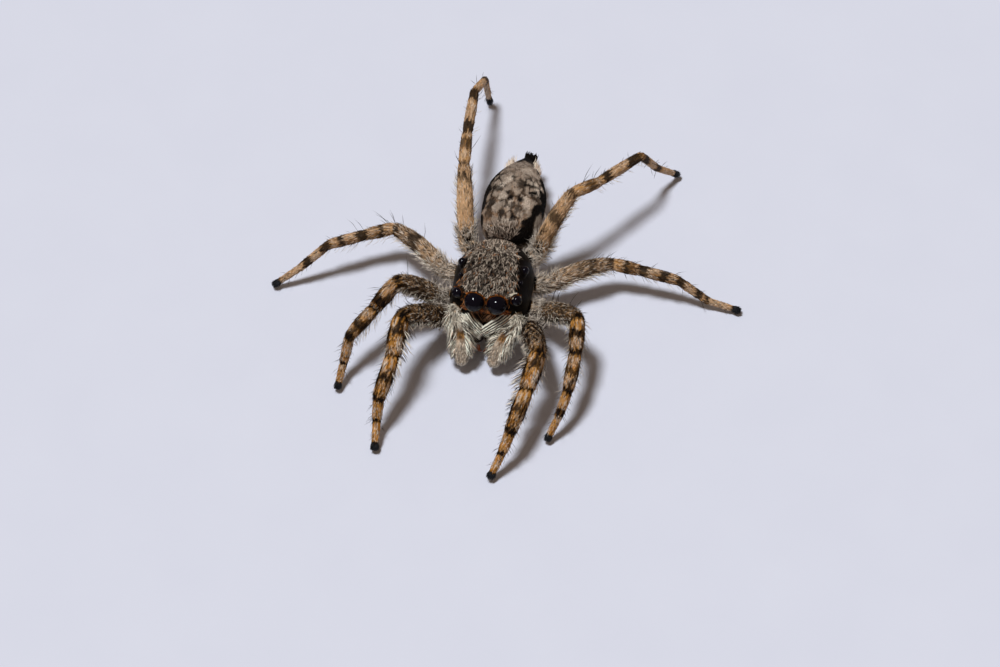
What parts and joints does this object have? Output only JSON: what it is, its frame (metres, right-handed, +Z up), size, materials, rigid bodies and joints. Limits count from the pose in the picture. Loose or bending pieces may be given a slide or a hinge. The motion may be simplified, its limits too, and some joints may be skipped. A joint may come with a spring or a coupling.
{
  "type": "jumping spider",
  "caption": "Still life-size grey wall jumping spider in a natural stance, for a museum display.",
  "frame": {"origin": "on the floor under the middle of the whole spider's box, feet included", "axes": "+Z up from the floor, the spider faces -Y and its own left side is +X"},
  "size_m": [0.0144, 0.0142, 0.0033],
  "materials": {
    "head_coat": "glossy dark skin under short grey and fawn hairs",
    "abdomen_coat": "matt, taupe and cream hairs with brown spots and black sides",
    "leg_coat": "satin tan skin with dark rings and short hairs",
    "foot": "satin, ending in black foot pads",
    "pale_coat": "long soft cream and white hairs",
    "dark_skin": "semi-gloss dark brown",
    "eye_lens": "polished black lens"
  },
  "bodies": {
    "root": {"carapace": "head_coat", "abdomen": "abdomen_coat", "underside": "pale_coat", "pedicel": "dark_skin", "spinnerets": "dark_skin", "eye_front_median_left": "eye_lens", "eye_front_lateral_left": "eye_lens", "eye_middle_left": "eye_lens", "eye_rear_lateral_left": "eye_lens", "chelicera_left": "dark_skin", "palp_left": "pale_coat", "leg_left_1_femur": "leg_coat", "leg_left_1_patella": "leg_coat", "leg_left_1_tibia": "leg_coat", "leg_left_1_metatarsus": "leg_coat", "leg_left_1_tarsus": "foot", "leg_left_2_femur": "leg_coat", "leg_left_2_patella": "leg_coat", "leg_left_2_tibia": "leg_coat", "leg_left_2_metatarsus": "leg_coat", "leg_left_2_tarsus": "foot", "leg_left_3_femur": "leg_coat", "leg_left_3_patella": "leg_coat", "leg_left_3_tibia": "leg_coat", "leg_left_3_metatarsus": "leg_coat", "leg_left_3_tarsus": "foot", "leg_left_4_femur": "leg_coat", "leg_left_4_patella": "leg_coat", "leg_left_4_tibia": "leg_coat", "leg_left_4_metatarsus": "leg_coat", "leg_left_4_tarsus": "foot", "eye_front_median_right": "eye_lens", "eye_front_lateral_right": "eye_lens", "eye_middle_right": "eye_lens", "eye_rear_lateral_right": "eye_lens", "chelicera_right": "dark_skin", "palp_right": "pale_coat", "leg_right_1_femur": "leg_coat", "leg_right_1_patella": "leg_coat", "leg_right_1_tibia": "leg_coat", "leg_right_1_metatarsus": "leg_coat", "leg_right_1_tarsus": "foot", "leg_right_2_femur": "leg_coat", "leg_right_2_patella": "leg_coat", "leg_right_2_tibia": "leg_coat", "leg_right_2_metatarsus": "leg_coat", "leg_right_2_tarsus": "foot", "leg_right_3_femur": "leg_coat", "leg_right_3_patella": "leg_coat", "leg_right_3_tibia": "leg_coat", "leg_right_3_metatarsus": "leg_coat", "leg_right_3_tarsus": "foot", "leg_right_4_femur": "leg_coat", "leg_right_4_patella": "leg_coat", "leg_right_4_tibia": "leg_coat", "leg_right_4_metatarsus": "leg_coat", "leg_right_4_tarsus": "foot"}
  },
  "joints": []
}
